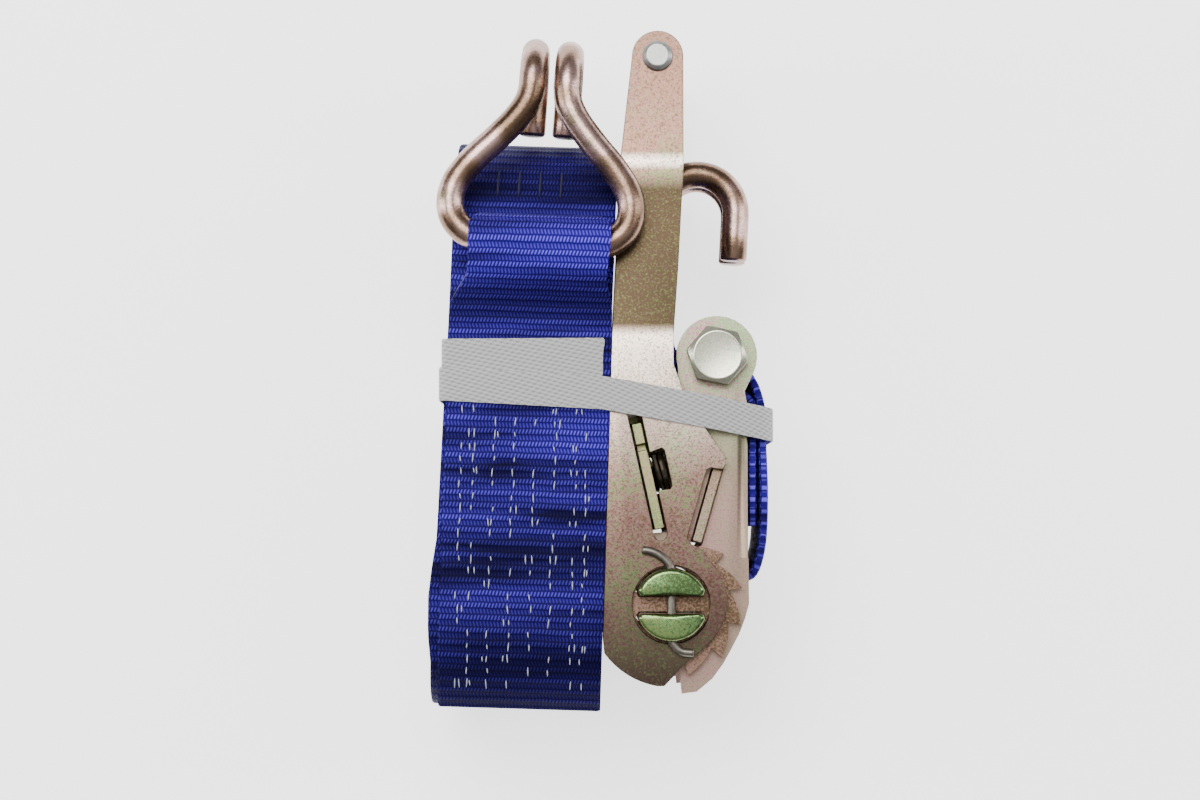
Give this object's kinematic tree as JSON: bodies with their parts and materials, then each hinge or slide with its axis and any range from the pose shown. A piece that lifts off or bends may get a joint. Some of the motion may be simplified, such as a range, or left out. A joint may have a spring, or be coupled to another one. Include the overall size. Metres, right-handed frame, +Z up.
{
  "type": "ratchet tie down",
  "caption": "Ratchet tie down for cargo: a slotted mandrel turned by a long handle, webbing straps with double J hooks, packed with its strap rolled up beside the ratchet.",
  "frame": {"origin": "middle of the footprint, on the floor it lies on", "axes": "+Z up from the floor, along the mandrel; +Y from the mandrel towards the handle's grip; +X from the rolled strap towards the ratchet"},
  "size_m": [0.1046, 0.2124, 0.0925],
  "materials": {
    "zinc_plated_steel": "yellow zinc plating, iridescent",
    "plain_steel": "plain grey",
    "blue_webbing": "woven",
    "grey_band": "woven"
  },
  "bodies": {
    "frame": {"frame": "zinc_plated_steel", "eye_bolt": "zinc_plated_steel", "eye_washer": "zinc_plated_steel", "eye_nut": "zinc_plated_steel", "eye_sleeve": "plain_steel", "short_strap": "blue_webbing", "short_strap_hook": "zinc_plated_steel", "packing_band": "grey_band", "lock_pawl_spring": "plain_steel"},
    "handle": {"handle_side_near": "zinc_plated_steel", "handle_side_far": "zinc_plated_steel", "handle_crossplate": "zinc_plated_steel", "grip_rivet": "plain_steel", "grip_sleeve": "zinc_plated_steel", "drive_pawl_spring_near": "plain_steel", "drive_pawl_spring_far": "plain_steel"},
    "drive_pawl": {"drive_pawl": "zinc_plated_steel"},
    "mandrel": {"mandrel_half_upper": "zinc_plated_steel", "mandrel_half_lower": "zinc_plated_steel", "ratchet_wheel_near": "zinc_plated_steel", "ratchet_wheel_far": "zinc_plated_steel", "cotter_pin_near": "plain_steel", "cotter_pin_far": "plain_steel"},
    "lock_pawl": {"lock_pawl": "plain_steel"},
    "strap_bundle": {"long_strap_roll": "blue_webbing", "long_strap_eye": "blue_webbing"},
    "long_strap_hook": {"long_strap_hook": "zinc_plated_steel"}
  },
  "joints": [
    {"name": "handle_hinge", "type": "hinge", "parent": "frame", "child": "handle", "pos_m": [0.02003, -0.07149, 0.043], "axis": [0, 0, 1], "range_deg": [0, 170], "deforming": ["packing_band"]},
    {"name": "drive_pawl_slide", "type": "slide", "parent": "handle", "child": "drive_pawl", "axis": [-0.2147, 0.9767, 0], "range_m": [0, 0.0035], "stiffness_N_per_m": 1000, "springref_m": -0.002, "deforming": ["drive_pawl_spring_near", "drive_pawl_spring_far"]},
    {"name": "mandrel_spin", "type": "hinge", "parent": "frame", "child": "mandrel", "pos_m": [0.02003, -0.07149, 0.043], "axis": [0, 0, 1], "continuous": true},
    {"name": "lock_pawl_slide", "type": "slide", "parent": "frame", "child": "lock_pawl", "axis": [0.2756, 0.9613, 0], "range_m": [0, 0.0035], "stiffness_N_per_m": 1000, "springref_m": -0.002, "deforming": ["lock_pawl_spring"]},
    {"name": "strap_bundle_slide", "type": "slide", "parent": "frame", "child": "strap_bundle", "axis": [-1, 0, 0], "range_m": [0, 0.5]},
    {"name": "long_strap_hook_hinge", "type": "hinge", "parent": "strap_bundle", "child": "long_strap_hook", "pos_m": [-0.02057, 0.03951, 0.0844], "axis": [0.9973, -0.0741, 0], "range_deg": [0, 90]}
  ],
  "couplings": [
    {"joint": "strap_bundle_slide", "follows": "handle_hinge", "m_per_rad": 0.166}
  ]
}
